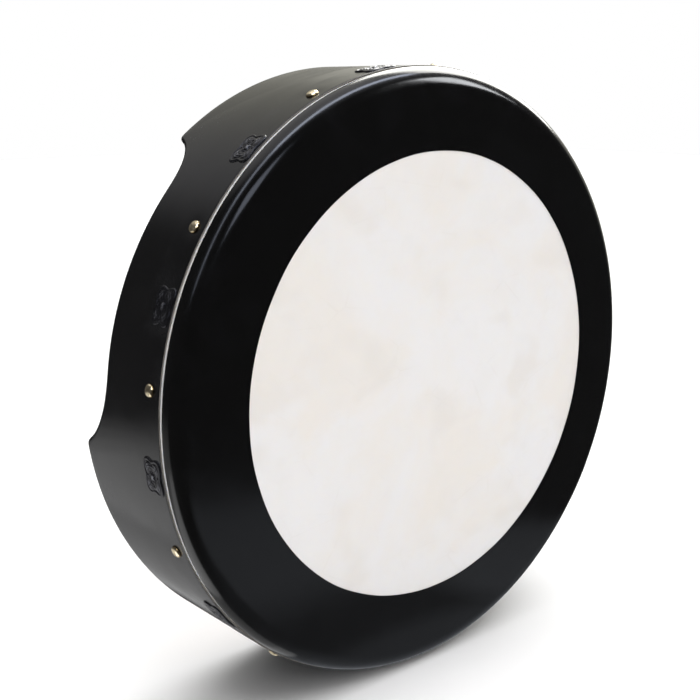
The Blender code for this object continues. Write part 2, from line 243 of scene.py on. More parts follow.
def ornament_angles():
    nails = nail_angles()
    return [(a + b) / 2 for a, b in zip(nails, nails[1:] + [nails[0] + 360.0])]


def tuner_angles():
    return [TUNER_FIRST + 360.0 / TUNERS * i for i in range(TUNERS)]


def around(angle):
    """A frame at this angle: X radially out, Z out of the head."""
    return DRUM @ Matrix.Rotation(math.radians(90.0 + angle), 4, "Z")


def radial_frame(angle, depth, radius, sideways=0.0):
    """A frame on the rim whose Z points radially out of the drum."""
    turn = Matrix.Rotation(math.radians(90.0), 4, "Y")
    return around(angle) @ Matrix.Translation((radius, sideways, -depth)) @ turn


# ---- material tools


class Nodes:
    """Short calls for building the node tree of a world, or of a new material when given its name."""

    def __init__(self, owner):
        self.owner = bpy.data.materials.new(owner) if isinstance(owner, str) else owner
        self.owner.use_nodes = True
        self.tree = self.owner.node_tree

    def feed(self, socket, value):
        """Links another node's output to a socket, or sets the socket to a number, vector or colour."""
        if hasattr(value, "is_output"):
            self.tree.links.new(value, socket)
        elif isinstance(value, tuple) and len(value) < len(socket.default_value):
            socket.default_value = (*value, 1.0)
        else:
            socket.default_value = value

    def new(self, kind, **inputs):
        node = self.tree.nodes.new("ShaderNode" + kind)
        for name, value in inputs.items():
            self.feed(node.inputs[name.replace("_", " ")], value)
        return node

    def finish(self, **inputs):
        """Feeds the material's shader, and returns the material."""
        for name, value in inputs.items():
            self.feed(self.tree.nodes["Principled BSDF"].inputs[name.replace("_", " ")], value)
        return self.owner

    def place(self, wrap=False, scale=(1, 1, 1), rotation=(0, 0, 0)):
        """Metres in the piece's own frame or, with wrap, along and across its rows."""
        source = self.new("UVMap" if wrap else "TexCoord")
        if wrap:
            source.uv_map = "wrap"
        source = source.outputs["UV" if wrap else "Object"]
        return self.new("Mapping", Vector=source, Scale=scale, Rotation=rotation).outputs["Vector"]

    def noise(self, where, scale, detail=3.0, rough=0.5, warp=0.0):
        inputs = {"Vector": where, "Scale": scale, "Detail": detail, "Roughness": rough, "Distortion": warp}
        return self.new("TexNoise", **inputs).outputs["Fac"]

    def cells(self, where, scale, feature="F1"):
        node = self.new("TexVoronoi", Vector=where, Scale=scale)
        node.feature = feature
        return node.outputs["Distance"]

    def relief(self):
        node = self.new("Attribute")
        node.attribute_name = "relief"
        return node.outputs["Fac"]

    def span(self, value, low, high, to_low=0.0, to_high=1.0):
        """A smooth step from to_low, at low and under, to to_high, at high and over."""
        node = self.new("MapRange", Value=value, From_Min=low, From_Max=high, To_Min=to_low, To_Max=to_high)
        node.interpolation_type = "SMOOTHSTEP"
        return node.outputs["Result"]

    def maths(self, operation, a, b):
        node = self.new("Math")
        node.operation = operation
        for socket, value in zip(node.inputs, (a, b)):
            self.feed(socket, value)
        return node.outputs["Value"]

    def mix(self, factor, a, b):
        node = self.new("Mix")
        node.data_type = "RGBA"
        for name, value in (("Factor", factor), ("A", a), ("B", b)):
            self.feed(node.inputs[name], value)
        return node.outputs["Result"]

    def bump(self, height, distance, strength=1.0, under=None):
        node = self.new("Bump", Height=height, Distance=distance, Strength=strength)
        if under is not None:
            self.feed(node.inputs["Normal"], under)
        return node.outputs["Normal"]


def lacquer_material():
    """Gloss black lacquer: faint orange peel, hoop grain telegraphing through, dust and a few scuffs."""
    n = Nodes("black_lacquer_finish")
    where = n.place()
    peel = n.noise(where, 420.0, 2.0)
    grain = n.noise(n.place(True, (6.0, 160.0, 1.0)), 1.6, 4.0, 0.6)
    dust = n.noise(where, 14.0, 5.0, 0.6)
    lines = n.noise(n.place(True, (26.0, 120.0, 1.0), (0, 0, 0.12)), 5.0, 1.0)
    places = n.noise(where, 9.0, 1.0)
    scuff = n.maths("MULTIPLY", n.span(lines, 0.66, 0.74), n.span(places, 0.52, 0.62))
    pale = n.maths("MAXIMUM", n.span(dust, 0.50, 0.85, 0.0, 0.2), scuff)
    return n.finish(
        Base_Color=n.mix(pale, (0.0012, 0.0012, 0.0013), (0.030, 0.030, 0.032)),
        Roughness=n.maths("ADD", n.span(dust, 0.3, 0.8, 0.13, 0.24), n.maths("MULTIPLY", scuff, 0.25)),
        Normal=n.bump(peel, 0.00005, 0.25, n.bump(grain, 0.00006, 0.35)),
    )


def edge_paint_material():
    """Sanded, matt black paint on the back edge, thin on the arris."""
    n = Nodes("edge_paint")
    where = n.place()
    rub = n.noise(where, 60.0, 4.0, 0.6)
    return n.finish(
        Base_Color=n.mix(n.span(rub, 0.58, 0.80), (0.0012, 0.0012, 0.0012), (0.012, 0.011, 0.010)),
        Roughness=n.span(rub, 0.3, 0.7, 0.50, 0.66),
        Specular_IOR_Level=0.15,
        Normal=n.bump(n.noise(where, 700.0, 2.0), 0.00004, 0.4),
    )


def inner_wood_material(name, light, dark, roughness, lengthways=5.0, crossways=220.0):
    """Clear-finished bent wood with its grain running round the hoop."""
    n = Nodes(name)
    hoop = n.place(True, (lengthways, crossways, 1.0))
    figure = n.noise(hoop, 1.0, 6.0, 0.62, 0.8)
    pores = n.noise(n.place(True, (lengthways * 9, crossways * 11, 1.0)), 1.0, 2.0, 0.5)
    tone = n.noise(n.place(), 9.0, 3.0)
    colour = n.mix(n.span(figure, 0.34, 0.68), dark, light)
    colour = n.mix(n.span(pores, 0.56, 0.74, 0.0, 0.55), colour, tuple(0.35 * c for c in dark))
    colour = n.mix(n.span(tone, 0.35, 0.70, 0.0, 0.35), colour, tuple(0.72 * c for c in light))
    return n.finish(
        Base_Color=colour,
        Roughness=n.span(figure, 0.3, 0.7, roughness - 0.06, roughness + 0.10),
        Normal=n.bump(pores, 0.00010, 0.6, n.bump(figure, 0.00025, 0.5)),
        Coat_Weight=0.25,
        Coat_Roughness=0.30,
    )


def goatskin_material():
    """Bleached goatskin: nearly even, with faint warm clouds, fine pores and hair-fine veins."""
    n = Nodes("goatskin_finish")
    where = n.place()
    clouds = n.noise(where, 9.0, 4.0, 0.55, 0.6)
    patches = n.noise(where, 26.0, 3.0, 0.6)
    veins = n.cells(n.place(scale=(1.0, 1.7, 1.0), rotation=(0, 0, 0.6)), 22.0, "DISTANCE_TO_EDGE")
    vein = n.maths("MULTIPLY", n.span(veins, 0.0, 0.030, 1.0, 0.0), n.span(patches, 0.45, 0.70, 0.0, 0.16))
    pores = n.cells(where, 900.0)
    blotches = n.noise(n.place(scale=(1.0, 1.3, 1.0)), 15.0, 2.0, 0.5, 0.3)
    colour = n.mix(n.span(clouds, 0.40, 0.62), (0.795, 0.782, 0.782), (0.795, 0.758, 0.722))
    colour = n.mix(n.span(blotches, 0.52, 0.70, 0.0, 0.55), colour, (0.735, 0.700, 0.668))
    colour = n.mix(n.span(patches, 0.40, 0.75, 0.0, 0.22), colour, (0.74, 0.715, 0.705))
    colour = n.mix(vein, colour, (0.68, 0.64, 0.60))
    return n.finish(
        Base_Color=colour,
        Roughness=n.span(patches, 0.3, 0.7, 0.52, 0.66),
        Normal=n.bump(pores, 0.00006, 0.35, n.bump(clouds, 0.0006, 0.4)),
        Subsurface_Weight=0.18,
        Subsurface_Radius=(0.004, 0.003, 0.002),
        Subsurface_Scale=1.0,
        Specular_IOR_Level=0.35,
    )


def tape_material():
    """Black vinyl tape pulled over the shoulder: satin, with stretch marks, fingerprints and fine dust."""
    n = Nodes("vinyl_tape_finish")
    where = n.place()
    stretch = n.noise(n.place(True, (3.0, 70.0, 1.0)), 1.3, 4.0, 0.55)
    smear = n.noise(where, 20.0, 4.0, 0.6, 1.2)
    weave = n.cells(where, 1300.0)
    specks = n.span(n.cells(where, 260.0), 0.0, 0.07, 1.0, 0.0)
    speck = n.maths("MULTIPLY", specks, n.span(n.noise(where, 40.0, 2.0), 0.58, 0.66))
    black = n.mix(n.span(smear, 0.45, 0.75), (0.0018, 0.0018, 0.0018), (0.0027, 0.0027, 0.0030))
    return n.finish(
        Base_Color=n.mix(speck, black, (0.03, 0.03, 0.03)),
        Roughness=n.span(smear, 0.3, 0.75, 0.13, 0.19),
        Normal=n.bump(weave, 0.00003, 0.25, n.bump(stretch, 0.00012, 0.35)),
        Specular_IOR_Level=0.42,
    )


def leather_material():
    """Polished black strap leather: pebble grain under a wax shine, creases along the strap, dry marks."""
    n = Nodes("band_leather_finish")
    where = n.place()
    pebble = n.cells(where, 1150.0)
    soft = n.noise(where, 500.0, 3.0, 0.6)
    crease = n.noise(n.place(True, (14.0, 300.0, 1.0)), 1.0, 3.0, 0.6)
    wear = n.noise(where, 22.0, 4.0, 0.62)
    return n.finish(
        Base_Color=n.mix(n.span(wear, 0.48, 0.80), (0.0012, 0.0012, 0.0014), (0.010, 0.010, 0.011)),
        Roughness=n.span(wear, 0.3, 0.8, 0.16, 0.30),
        Normal=n.bump(pebble, 0.00005, 0.30, n.bump(soft, 0.00004, 0.3, n.bump(crease, 0.00005, 0.4))),
    )


def raw_edge_material():
    """The band's cut front edge: undyed leather, fibrous and a little grimy."""
    n = Nodes("raw_leather_edge")
    fibre = n.noise(n.place(True, (300.0, 2600.0, 1.0)), 1.0, 4.0, 0.6)
    grime = n.noise(n.place(), 60.0, 3.0, 0.6)
    dirty = n.mix(n.span(grime, 0.40, 0.72), (0.15, 0.14, 0.125), (0.075, 0.068, 0.058))
    return n.finish(
        Base_Color=n.mix(n.span(fibre, 0.35, 0.70), dirty, (0.20, 0.185, 0.165)),
        Roughness=n.span(fibre, 0.3, 0.7, 0.70, 0.85),
        Normal=n.bump(fibre, 0.00005, 0.5),
    )


def metal_material(name, bright, dull, rough, rubbed_from=None, metallic=1.0, scale=300.0):
    """Metal whose tone and polish vary. With rubbed_from, only relief above that is rubbed bright."""
    n = Nodes(name)
    where = n.place()
    mottle = n.noise(where, scale, 4.0, 0.6)
    fine = n.noise(where, scale * 9, 2.0)
    share = n.span(mottle, 0.35, 0.68)
    if rubbed_from is not None:
        rubbed = n.span(n.relief(), rubbed_from, 0.95)
        share = n.maths("MULTIPLY", rubbed, n.span(mottle, 0.30, 0.62, 0.45, 1.0))
    return n.finish(
        Base_Color=n.mix(share, dull, bright),
        Metallic=metallic,
        Roughness=n.span(mottle, 0.3, 0.7, rough - 0.06, rough + 0.10),
        Normal=n.bump(fine, 0.00002, 0.4, n.bump(mottle, 0.00004, 0.5)),
    )


# ---- the drum's pieces


def back_edge_path():
    """The shell's back edge with the arm cutaway, as (distance round the rim, depth), closed. Returns
    places along it, closer together where it bends, and the direction into the wood at each."""
    step = 0.0003
    half = math.radians(CUT_SPAN / 2) * SHELL_RADIUS
    top = DRUM_DEPTH - CUT_DEPTH
    centre = math.radians(CUT_CENTRE) * SHELL_RADIUS
    edge = math.pi * SHELL_RADIUS
    sides = []
    for corner in CUT_CORNERS:
        flat = half - math.sqrt(corner**2 - (corner - CUT_DEPTH) ** 2)
        bend = np.linspace(0.0, math.asin((half - flat) / corner), 60)
        sides.append(np.stack([flat + corner * np.sin(bend), top + corner * (1 - np.cos(bend))], 1))
    upper, lower = sides
    start, end = [(-edge, DRUM_DEPTH), (centre - half, DRUM_DEPTH)], [(edge, DRUM_DEPTH)]
    upper[:, 0] *= -1
    points = np.concatenate([start, (upper + (centre, 0))[-2::-1], lower + (centre, 0), end])
    length = np.concatenate([[0.0], np.cumsum(np.linalg.norm(np.diff(points, axis=0), axis=1))])
    dense = np.arange(0.0, length[-1], step)
    path = np.stack([np.interp(dense, length, points[:, k]) for k in (0, 1)], 1)
    # sanded corners: a short moving average rounds only the sharp places
    spread = np.hanning(49)
    spread /= spread.sum()
    padded = np.concatenate([path[:1].repeat(24, 0), path, path[-1:].repeat(24, 0)])
    smooth = np.stack([np.convolve(padded[:, k], spread, "valid") for k in (0, 1)], 1)
    near_ends = np.minimum(dense, length[-1] - dense) < 0.01
    smooth[near_ends] = path[near_ends]
    tangent = np.gradient(smooth, axis=0)
    tangent /= np.linalg.norm(tangent, axis=1)[:, None]
    bend = np.abs(np.gradient(np.unwrap(np.arctan2(tangent[:, 1], tangent[:, 0])))) / step
    weight = np.cumsum(1.0 + np.minimum(bend, 260.0) * 0.035)
    numbers = np.arange(len(weight))
    picks = np.interp(np.linspace(0, weight[-1], 620, endpoint=False), weight, numbers)
    columns = [np.interp(picks, numbers, a[:, k]) for a in (smooth, tangent) for k in (0, 1)]
    place, direction = np.stack(columns[:2], 1), np.stack(columns[2:], 1)
    direction /= np.linalg.norm(direction, axis=1)[:, None]
    return place, np.stack([direction[:, 1], -direction[:, 0]], 1)


def make_shell(lacquer, wood, edge_paint):
    """The bent hoop: shoulder edge under the skin, seat under the band, lacquered side, eased back edge
    and bare inside. Each row is (radius, distances round the rim, depths)."""
    lacquer_radius = SHELL_RADIUS + LACQUER_BUILD
    lip = 0.00003
    start = BAND_BACK + JOINT_GAP
    straight = 0.062  # rows behind this depth start to follow the back edge
    uneven_by = 0.00004
    place, inward = back_edge_path()
    even = np.linspace(-math.pi * SHELL_RADIUS, math.pi * SHELL_RADIUS, len(place), endpoint=False)
    turn = [math.radians(a) for a in (0, 22.5, 45, 67.5, 90)]
    ease = [(BACK_EASE * (1 - math.cos(a)), BACK_EASE * (1 - math.sin(a))) for a in turn]

    def level(radius, *depths):
        return [(radius, even, np.full_like(even, d)) for d in depths]

    def toward_edge(radius, *shares):
        ring = np.stack([even, np.full_like(even, straight)], 1)
        return [(radius, *(ring * (1 - s) + (place + inward * BACK_EASE) * s).T) for s in shares]

    inner_angle = math.degrees(math.acos((SHELL_INSIDE + 0.001 - SHOULDER_RADIUS) / SHELL_EDGE))
    rows = level(SHELL_INSIDE, 0.0045)
    for radius, depth in arc((SHOULDER_RADIUS, SHOULDER_DEPTH), SHELL_EDGE, inner_angle, 0.0, 8):
        rows += level(radius, depth)
    rows += level(SHOULDER_RADIUS + SHELL_EDGE, 0.030, start)
    rows += level(lacquer_radius - lip, start)
    first_lacquer = len(rows)
    rows += level(lacquer_radius, start + lip, start + SUPPORT, 0.048, 0.055)
    rows += toward_edge(lacquer_radius, 0.0, 0.25, 0.5, 0.75, 0.92, 1.0)
    first_edge = len(rows) - 1
    rows += [(lacquer_radius - sink, *(place + inward * back).T) for sink, back in ease[1:]]
    last_lacquer = len(rows)
    rows += [(SHELL_INSIDE + sink, *(place + inward * back).T) for sink, back in ease[::-1]]
    last_edge = len(rows) - 1
    rows += toward_edge(SHELL_INSIDE, 0.92, 0.75, 0.5, 0.25, 0.0) + level(SHELL_INSIDE, 0.045, 0.030, 0.015)

    grid = []
    for i, (radius, along, depth) in enumerate(rows):
        angle = np.degrees(along / SHELL_RADIUS)
        radius = radius - uneven_by
        if first_lacquer <= i < last_lacquer:
            radius = radius + uneven_by * wobble(angle, (17, 23, 31, 44, 58), SEED)
        grid.append(drum_points(radius, angle, depth))
    mesh = grid_mesh("shell", np.array(grid), math.tau * SHELL_RADIUS, loop=True, sharp=50.0)
    for material in (lacquer, wood, edge_paint):
        mesh.materials.append(material)
    finish = np.zeros((len(rows), len(place)), np.int32)
    finish[:2] = finish[last_edge:] = 1
    finish[first_edge:last_edge] = 2
    mesh.polygons.foreach_set("material_index", finish.ravel())
    put("shell_hoop", mesh, DRUM, "drum", "shell")


def make_skin(material):
    """One skin: disc, shoulder and skirt, the face a little uneven between its middle and the ring."""
    centre = (SHOULDER_RADIUS, SHOULDER_DEPTH)
    under_radius = SKIN_RADIUS - SKIN_THICKNESS
    radii = (0.004, 0.02, 0.04, 0.06, 0.08, 0.10, 0.12, 0.14, 0.155, 0.165, 0.175, 0.19, 0.205)
    profile = [(r, SKIN_FRONT) for r in radii] + arc(centre, SHOULDER, 90.0, 0.0, 16)
    profile += [(SKIN_RADIUS, 0.020), (SKIN_RADIUS, 0.027), (SKIN_RADIUS, SKIN_END)]
    profile += [(under_radius, SKIN_END), (under_radius, 0.025)]
    profile += arc(centre, SHOULDER - SKIN_THICKNESS, 0.0, 90.0, 12)
    profile += [(r, SKIN_FRONT + SKIN_THICKNESS) for r in radii[::-1]]
    points, angle = revolve_rows(profile, 480)
    hills = 0.00009 * wobble(angle, (2, 3, 5), SEED + 1)
    for row, r in zip(points, radii):
        row[:, 2] += hills * (r / radii[-1]) * math.sin(math.pi * r / SHOULDER_RADIUS)
    poles = ((0, 0, -SKIN_FRONT), (0, 0, -SKIN_FRONT - SKIN_THICKNESS))
    mesh = grid_mesh("skin", points, math.tau * SKIN_RADIUS, poles=poles)
    skin = put("goatskin_head", mesh, DRUM, "drum", "head_skin", material)


def make_tape(material):
    """The tape lies over the skin's edge; its inner edge is a little off centre and not quite round."""
    centre = (SHOULDER_RADIUS, SHOULDER_DEPTH)
    inner = SHOULDER + GAP / 2
    outer = SHOULDER + GAP + TAPE_THICKNESS
    end = math.degrees(math.asin((SHOULDER_DEPTH - TAPE_END) / outer))
    front, edge_front = 0.00012, 0.00022  # the face's depth, and the inner edge's
    lap_start, lap_degrees, lap_height = -128.0, 9.0, 0.00014
    angle = degrees_round(720)
    turn = np.radians(angle)
    hand = 0.0009 * np.cos(turn) - 0.0022 * np.sin(turn) - 0.0014 * np.cos(2 * turn)
    hand += 0.00014 * np.cos(3 * turn) - 0.00024 * np.sin(3 * turn)
    hand += 0.00025 * wobble(angle, (7, 11, 16, 23), SEED + 2)
    edge = TAPE_INNER_RADIUS + hand
    lap = np.where((angle >= lap_start) & (angle < lap_start + lap_degrees), lap_height, 0.0)
    rows = [drum_points(edge + 0.0001, angle, SKIN_FRONT - GAP / 2)]
    rows += [drum_points(edge, angle, edge_front)]
    for share in (0.0, 0.02, 0.25, 0.5, 0.75):
        radius = edge + (SHOULDER_RADIUS - 0.004 - edge) * share + 0.0002
        rows.append(drum_points(radius, angle, front - lap))
    for (r, d), a in zip(arc(centre, outer, 90.0, end, 18), np.radians(np.linspace(90.0, end, 19))):
        rows.append(drum_points(r + lap * math.cos(a), angle, d - lap * math.sin(a) + 0.00008))
    rows += [drum_points(r, angle, d) for r, d in arc(centre, inner, end, 90.0, 12)]
    mesh = grid_mesh("tape", np.array(rows), math.tau * SHOULDER_RADIUS, loop=True, sharp=30.0)
    put("edge_tape_ring", mesh, DRUM, "drum", "edge_tape", material)


def make_band(material, raw_edge):
    """The leather band, drawn in a little at each nail, with rolled edges."""
    inside = OUTER_RADIUS - BAND_THICKNESS
    roll, back_roll = 0.0005, 0.00004
    dent, dent_radius = 0.00035, 0.0070
    profile = [(inside, BAND_FRONT + 0.0001)]
    profile += arc((OUTER_RADIUS - roll, BAND_FRONT + roll), roll, 90.0, 0.0, 3)
    profile += [(OUTER_RADIUS, d) for d in np.linspace(BAND_FRONT + roll, BAND_BACK - roll, 17)[1:]]
    profile += [(OUTER_RADIUS, BAND_BACK - SUPPORT)]
    profile += arc((OUTER_RADIUS - back_roll, BAND_BACK - back_roll), back_roll, 0.0, -90.0, 3)
    profile += [(inside, BAND_BACK - 0.0001)]
    section = np.array(profile)
    angle = degrees_round(1080)
    radius = np.repeat(section[:, :1], len(angle), axis=1)
    depth = np.repeat(section[:, 1:], len(angle), axis=1)
    drawn = np.zeros_like(radius)
    for nail in nail_angles():
        off = (angle - nail + 180.0) % 360.0 - 180.0
        far = np.hypot(np.radians(off)[None, :] * OUTER_RADIUS, depth - NAIL_DEPTH)
        drawn += dent * np.exp(-((far / dent_radius) ** 2))
    drawn += 0.00006 * (1 + wobble(angle, (19, 29, 41, 63), SEED + 3))[None, :]
    edge_wave = 0.00001 * wobble(angle, (9, 14, 26), SEED + 4)
    radius = np.where(section[:, :1] > inside, radius - drawn, radius)
    depth = depth + edge_wave[None, :] * (depth > 0.03)
    points = drum_points(radius, angle[None, :], depth)
    mesh = grid_mesh("band", points, math.tau * OUTER_RADIUS, loop=True, sharp=50.0)
    for finish in (material, raw_edge):
        mesh.materials.append(finish)
    cut = np.zeros(len(mesh.polygons), np.int32)
    cut[: 2 * len(angle)] = 1
    mesh.polygons.foreach_set("material_index", cut)
    put("leather_rim_band", mesh, DRUM, "drum", "rim_band")


def full_turn(count):
    return np.linspace(0, math.tau, count, endpoint=False)


def rings(turn, sizes):
    """Rows of points about the Z axis from pairs of radius and height, which may vary round it."""
    rows = [np.broadcast_arrays(r * np.cos(turn), r * np.sin(turn), height) for r, height in sizes]
    return np.moveaxis(np.array(rows), 1, 2)


def make_nails(material):
    """Upholstery nails: pressed domes, slightly flattened and faceted by the hammer, on square shanks."""
    rng = np.random.default_rng(SEED)
    nails = []
    turn = full_turn(40)
    square = np.minimum(1.0 / np.maximum(np.abs(np.cos(turn)), np.abs(np.sin(turn))), 1.3) / 1.3
    polish = (0, 0, 0, 0, 0, 0, 0, 0.1, 0.4, 0.8, 1, 1, 1, 1, 1)  # for each row, from the tip up
    radius, shank_radius, tip = NAIL_HEAD_RADIUS, 0.0008, 0.0002 - NAIL_LENGTH
    for number, angle in enumerate(nail_angles(), 1):
        bumps = rng.uniform(-1, 1, 6)
        shank = [(shank_radius * s * square, z) for s, z in ((0.25, tip), (0.9, -0.0055), (1.0, 0.0))]
        edge = [(radius * s, z) for s, z in ((0.5, 0.00003), (0.93, 0.00004), (0.985, 0.00006), (1.0, 0.00016))]
        dome = []
        for a in np.radians((4, 14, 26, 38, 50, 62, 74, 84)):
            oval = 1 + 0.006 * bumps[0] * np.cos(2 * turn + bumps[1] * 3)
            flat = 0.05 * math.sin(a) ** 6 * (1 + bumps[2])
            facet = 0.00005 * bumps[3] * math.cos(a) * np.cos(turn * 3 + bumps[4] * 3)
            dome.append((radius * math.cos(a) * oval, NAIL_HEAD_HEIGHT * (math.sin(a) - flat) + facet))
        points = rings(turn, shank + edge + dome)
        poles = ((0, 0, -NAIL_LENGTH), (0, 0, NAIL_HEAD_HEIGHT * (0.95 - 0.05 * bumps[2])))
        relief = np.repeat(np.array(polish)[:, None], len(turn), axis=1)
        mesh = grid_mesh("nail", points, 0.03, poles=poles, sharp=60.0, relief=relief)
        frame = radial_frame(angle, NAIL_DEPTH, SUNK_RADIUS) @ Matrix.Rotation(rng.uniform(0, math.tau), 4, "Z")
        name = f"nail_{number:02d}"
        nails.append(put(name, mesh, frame, "drum", f"band_{name}", material))
    return nails


def ornament_relief(share, turn):
    """Height of the cast rosette above its foot, in metres: rolled border, four leaves, beads and a boss."""

    def dome(x):
        return np.sqrt(np.clip(1 - x**2, 0, 1))

    def ridge(middle, width):
        return np.exp(-(((share - middle) / width) ** 2))

    leaf_turn = np.cos(4 * turn + math.pi)  # +1 in the middle of each leaf
    leaf_length = np.clip(np.sin(math.pi * np.clip((share - 0.30) / 0.54, 0, 1)), 0, 1) ** 0.7
    leaf = np.clip(0.5 + 0.5 * leaf_turn, 0, 1) ** 0.6 * leaf_length
    vein = np.exp(-(((share * np.sin(turn % (math.pi / 2) - math.pi / 4)) / 0.035) ** 2))
    ribs = 0.00016 * np.cos(14 * math.pi * share + 2 * leaf_turn)
    field = 0.00055 + leaf * (0.00085 + ribs) - 0.0003 * vein * leaf
    field += 0.00045 * np.clip(np.cos(12 * turn), 0, 1) ** 0.5 * ridge(0.27, 0.045)  # beads
    field += 0.00085 * np.clip(np.cos(4 * turn), 0, 1) ** 10 * ridge(0.62, 0.085)  # dots between leaves
    border = 0.00110 * dome((share - 0.90) / 0.10)
    boss = 0.0005 + 0.0012 * dome(share / 0.19)
    limits = ((share > 0.80, border), (share < 0.985, field), (share < 0.19, boss))
    return np.maximum.reduce([np.where(inside, height, 0.0) for inside, height in limits])


def make_ornaments(material):
    """Cast four-lobed rosettes, one between each two nails, bent to the rim."""
    turn = full_turn(128)
    reach = 1.0 - 0.16 * np.cos(4 * turn)
    reach /= float((reach * np.cos(turn)).max())
    shares = np.concatenate([np.linspace(0.02, 0.80, 34), np.linspace(0.815, 1.0, 12)])[::-1]
    rows = [(0.5, np.zeros_like(turn)), (1.0, np.zeros_like(turn)), (1.0, np.full_like(turn, 0.00025))]
    rows += [(share, ornament_relief(np.full_like(turn, share), turn)) for share in shares[1:]]
    points = []
    for share, height in rows:
        along = ORNAMENT_LENGTH / 2 * share * reach * np.cos(turn) / OUTER_RADIUS
        across = ORNAMENT_WIDTH / 2 * share * reach * np.sin(turn)
        radius = SUNK_RADIUS + height
        points.append(np.stack([radius * np.cos(along), radius * np.sin(along), across], axis=-1))
    relief = np.array([height for _, height in rows]) / ORNAMENT_HEIGHT
    poles = ((SUNK_RADIUS, 0, 0), (SUNK_RADIUS + ORNAMENT_HEIGHT, 0, 0))
    mesh = grid_mesh("rosette", np.array(points), 0.07, poles=poles, sharp=70.0, relief=relief)
    rng = np.random.default_rng(SEED + 5)
    for number, angle in enumerate(ornament_angles(), 1):
        tilt = Matrix.Rotation(math.radians(rng.uniform(-2.5, 2.5)), 4, "X")
        frame = around(angle) @ Matrix.Translation((0, 0, -ORNAMENT_DEPTH)) @ tilt
        node = f"rim_ornament_{number:02d}"
        put(f"rosette_{number:02d}", mesh, frame, "drum", node, material)


# ---- the tuning system


def applied(obj):
    """A new mesh with obj's modifiers applied."""
    bpy.context.view_layer.update()
    return bpy.data.meshes.new_from_object(obj.evaluated_get(bpy.context.evaluated_depsgraph_get()))


def boolean(obj, helper, operation="DIFFERENCE"):
    """Cuts or joins a closed helper mesh and leaves the result in obj's own mesh."""
    cutter = add("helper", helper)
    modifier = obj.modifiers.new("cut", "BOOLEAN")
    modifier.operation, modifier.solver, modifier.object = operation, "EXACT", cutter
    made = applied(obj)
    obj.modifiers.clear()
    obj.data = made
    bpy.data.objects.remove(cutter, do_unlink=True)


def rod(matrix, radius, low, high, segments=32):
    """A closed cylinder along the matrix's Z axis, to cut or join with."""
    bm = bmesh.new()
    middle = matrix @ Matrix.Translation((0, 0, (low + high) / 2))
    sizes = {"radius1": radius, "radius2": radius, "depth": high - low}
    bmesh.ops.create_cone(bm, cap_ends=True, segments=segments, matrix=middle, **sizes)
    return from_bmesh(bm, "rod")


def merged(meshes):
    bm = bmesh.new()
    for mesh in meshes:
        bm.from_mesh(mesh)
    return from_bmesh(bm, "merged")


def make_tuning_ring(material):
    """A wooden hoop with a crowned front for the skin, eased back corners and a socket for each bolt."""
    inside, outside = BOLT_CIRCLE - RING_HALF_WIDTH, BOLT_CIRCLE + RING_HALF_WIDTH
    crown, ease = RING_FRONT + RING_CROWN, 0.0010
    profile = arc((outside - RING_CROWN, crown), RING_CROWN, 0.0, 90.0, 6)
    profile += arc((inside + RING_CROWN, crown), RING_CROWN, 90.0, 180.0, 6)
    profile += [(inside, 0.009), (inside, 0.0135)]
    profile += arc((inside + ease, RING_BACK - ease), ease, 180.0, 270.0, 3) + [(BOLT_CIRCLE, RING_BACK)]
    profile += arc((outside - ease, RING_BACK - ease), ease, 270.0, 360.0, 3) + [(outside, 0.012)]
    points, _ = revolve_rows(profile, 360)
    mesh = grid_mesh("hoop", points, math.tau * BOLT_CIRCLE, loop=True, sharp=50.0)
    obj = put("tuning_hoop", mesh, DRUM, "tuning_ring", "tuning_ring", material)
    holes = []
    for angle in tuner_angles():
        spot = Matrix.Rotation(math.radians(90.0 + angle), 4, "Z") @ Matrix.Translation((BOLT_CIRCLE, 0, 0))
        holes.append(rod(spot, BOLT_RADIUS + 0.0004, -RING_BACK - 0.002, -RING_BACK + 0.003))
    boolean(obj, merged(holes))
    finish_shading(obj.data, 50.0)


def thread_rows(low, high, turn):
    """A right-hand M6 thread along Z, as (radius, height) pairs whose radius follows the helix."""
    pitch, minor, rows_per_turn = 0.001, 0.00245, 8
    sizes = []
    for z in np.arange(low, high, pitch / rows_per_turn):
        crest = 1.0 - np.abs((z / pitch - turn / math.tau) % 1.0 * 2 - 1)
        sizes.append((minor + (BOLT_RADIUS - minor) * np.clip(crest * 1.5 - 0.2, 0, 1), z))
    return sizes


def bolt_mesh():
    """A socket-head bolt along Z from its tip at 0: cone point, rolled thread, knurled head, hex socket."""
    turn = full_turn(72)
    neck, end, head = BOLT_NECK - BOLT_TIP, BOLT_END - BOLT_TIP, BOLT_HEAD_RADIUS
    knurled = head + 0.00010 * np.cos(turn * 36)
    hexagon = 0.0025 / np.cos((turn + math.pi / 6) % (math.pi / 3) - math.pi / 6)
    sizes = [(0.0016, 0.0), (0.0023, 0.0004), *thread_rows(0.0008, neck - 0.0005, turn)]
    sizes += [(BOLT_RADIUS, neck - 0.0002), (BOLT_RADIUS, neck), (head - 0.0005, neck)]
    sizes += [(head, neck + 0.0005), (knurled, neck + 0.0009), (knurled, end - 0.0011), (head, end - 0.0008)]
    sizes += [(head - 0.0002, end - 0.0003), (head - 0.0006, end), (hexagon * 1.10, end)]
    sizes += [(hexagon, end - 0.0003), (hexagon, end - 0.0033), (hexagon * 0.5, end - 0.0036)]
    points = rings(turn, sizes)
    far = np.hypot(points[..., 0], points[..., 1])
    relief = np.clip((far - 0.0024) / 0.0006, 0, 1) * 0.8
    return grid_mesh("bolt", points, 0.02, poles=((0, 0, 0), (0, 0, end - 0.0039)), sharp=35.0, relief=relief)


